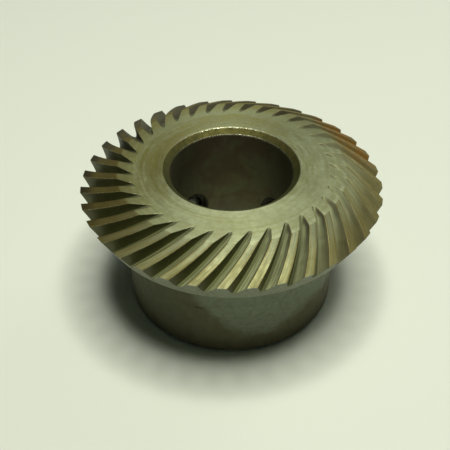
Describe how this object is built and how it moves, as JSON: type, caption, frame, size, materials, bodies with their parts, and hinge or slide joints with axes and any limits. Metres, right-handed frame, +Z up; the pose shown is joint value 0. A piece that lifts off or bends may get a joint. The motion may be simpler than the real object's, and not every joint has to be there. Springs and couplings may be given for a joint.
{
  "type": "spiral bevel gear",
  "caption": "Right-hand spiral bevel gear with a plain hub, a chamfered through bore and two hexagon-socket set screws that lock it to its shaft.",
  "frame": {"origin": "centre of the hub's flat bottom face, on the gear's axis", "axes": "+Z up along the gear's axis, from the hub's bottom face to the flat front face; the two set screws are on the +Y side, mirrored about the YZ plane"},
  "size_m": [0.0378, 0.0378, 0.0192],
  "materials": {
    "gear_steel": "turned and cut bare steel, oily, with olive and brown stains, concentric turning marks and dark tooth gaps",
    "screw_steel": "black oxide, satin, with worn thread crests"
  },
  "bodies": {
    "gear": {"gear_body": "gear_steel"},
    "left_screw": {"set_screw_left": "screw_steel"},
    "right_screw": {"set_screw_right": "screw_steel"}
  },
  "joints": [
    {"name": "left_screw_travel", "type": "slide", "parent": "gear", "child": "left_screw", "axis": [0.7431, -0.6691, 0], "range_m": [-0.004, 0.0008]},
    {"name": "right_screw_travel", "type": "slide", "parent": "gear", "child": "right_screw", "axis": [-0.7431, -0.6691, 0], "range_m": [-0.004, 0.0008]}
  ]
}
